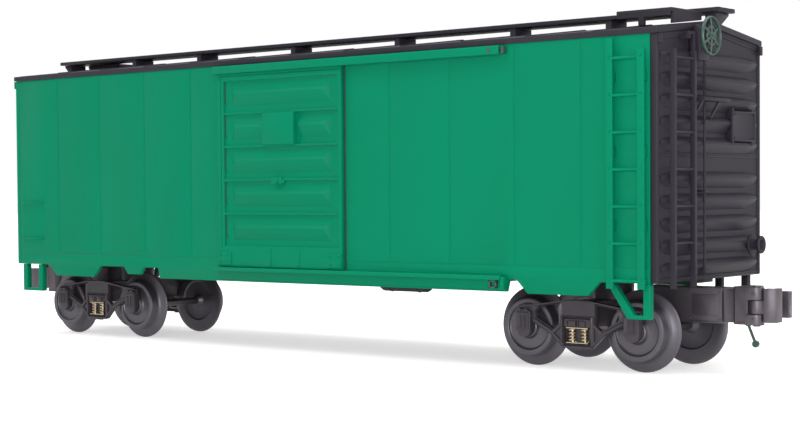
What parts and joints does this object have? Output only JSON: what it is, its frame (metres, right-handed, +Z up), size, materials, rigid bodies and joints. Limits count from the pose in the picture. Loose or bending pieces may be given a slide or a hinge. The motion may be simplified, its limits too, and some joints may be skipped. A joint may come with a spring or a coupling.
{
  "type": "railroad boxcar",
  "caption": "O-gauge model boxcar: hollow steel-type body, sliding side doors, ribbed ends, roof walkway, ladders, swivelling sprung trucks and knuckle couplers.",
  "frame": {"origin": "on the rail plane under the middle of the car", "axes": "+X along the car toward the end with the brake wheel, +Y across it, +Z up"},
  "size_m": [0.3076, 0.0672, 0.1018],
  "materials": {
    "body_green": "satin green",
    "body_black": "satin black",
    "truck_black": "black painted die casting",
    "wheel_steel": "blackened",
    "spring_steel": "bare wire",
    "coupler_metal": "blackened casting",
    "dark_green": "satin dark green"
  },
  "bodies": {
    "car": {"air_reservoir": "body_black", "brake_cylinder": "body_black", "brake_housing": "body_black", "brake_rod": "body_black", "brake_step": "body_black", "brake_wheel": "dark_green", "card_board_front": "body_black", "card_board_rear": "body_black", "control_valve": "body_black", "door_track_lower_far": "body_green", "door_track_lower_near": "body_green", "door_track_upper_far": "body_green", "door_track_upper_near": "body_green", "end_front": "body_black", "end_ladder_front": "body_black", "end_ladder_rear": "body_black", "end_rear": "body_black", "floor": "body_black", "lateral_board_front": "body_black", "lateral_board_rear": "body_black", "pole_pocket_front": "body_black", "pole_pocket_rear": "body_black", "roof": "body_black", "running_board": "body_black", "side_far": "body_green", "side_ladder_far": "body_green", "side_ladder_near": "body_green", "side_near": "body_green", "stirrup_front_far": "body_green", "stirrup_front_near": "body_green", "stirrup_rear_far": "body_green", "stirrup_rear_near": "body_green", "underframe": "body_black"},
    "door_near": {"door_near": "body_green"},
    "door_far": {"door_far": "body_green"},
    "truck_front": {"bolster_front": "truck_black", "coupler_front": "coupler_metal", "side_frame_front_far": "truck_black", "side_frame_front_near": "truck_black", "springs_front_far": "spring_steel", "springs_front_near": "spring_steel", "uncoupling_pin_front": "dark_green"},
    "axle_front_outer": {"wheelset_front_outer": "wheel_steel"},
    "axle_front_inner": {"wheelset_front_inner": "wheel_steel"},
    "knuckle_front": {"knuckle_front": "coupler_metal"},
    "truck_rear": {"bolster_rear": "truck_black", "coupler_rear": "coupler_metal", "side_frame_rear_far": "truck_black", "side_frame_rear_near": "truck_black", "springs_rear_far": "spring_steel", "springs_rear_near": "spring_steel", "uncoupling_pin_rear": "dark_green"},
    "axle_rear_outer": {"wheelset_rear_outer": "wheel_steel"},
    "axle_rear_inner": {"wheelset_rear_inner": "wheel_steel"},
    "knuckle_rear": {"knuckle_rear": "coupler_metal"}
  },
  "joints": [
    {"name": "door_near_slide", "type": "slide", "parent": "car", "child": "door_near", "axis": [1, 0, 0], "range_m": [0, 0.054]},
    {"name": "door_far_slide", "type": "slide", "parent": "car", "child": "door_far", "axis": [-1, 0, 0], "range_m": [0, 0.054]},
    {"name": "truck_front_swivel", "type": "hinge", "parent": "car", "child": "truck_front", "pos_m": [0.101, 0, 0.0245], "axis": [0, 0, 1], "range_deg": [-15, 15]},
    {"name": "axle_front_outer_spin", "type": "hinge", "parent": "truck_front", "child": "axle_front_outer", "pos_m": [0.11885, 0, 0.0117], "axis": [0, 1, 0], "continuous": true},
    {"name": "axle_front_inner_spin", "type": "hinge", "parent": "truck_front", "child": "axle_front_inner", "pos_m": [0.08315, 0, 0.0117], "axis": [0, 1, 0], "continuous": true},
    {"name": "knuckle_front_swing", "type": "hinge", "parent": "truck_front", "child": "knuckle_front", "pos_m": [0.148, -0.004, 0.0192], "axis": [0, 0, -1], "range_deg": [0, 35]},
    {"name": "truck_rear_swivel", "type": "hinge", "parent": "car", "child": "truck_rear", "pos_m": [-0.101, 0, 0.0245], "axis": [0, 0, 1], "range_deg": [-15, 15]},
    {"name": "axle_rear_outer_spin", "type": "hinge", "parent": "truck_rear", "child": "axle_rear_outer", "pos_m": [-0.11885, 0, 0.0117], "axis": [0, 1, 0], "continuous": true},
    {"name": "axle_rear_inner_spin", "type": "hinge", "parent": "truck_rear", "child": "axle_rear_inner", "pos_m": [-0.08315, 0, 0.0117], "axis": [0, 1, 0], "continuous": true},
    {"name": "knuckle_rear_swing", "type": "hinge", "parent": "truck_rear", "child": "knuckle_rear", "pos_m": [-0.148, 0.004, 0.0192], "axis": [0, 0, -1], "range_deg": [0, 35]}
  ]
}
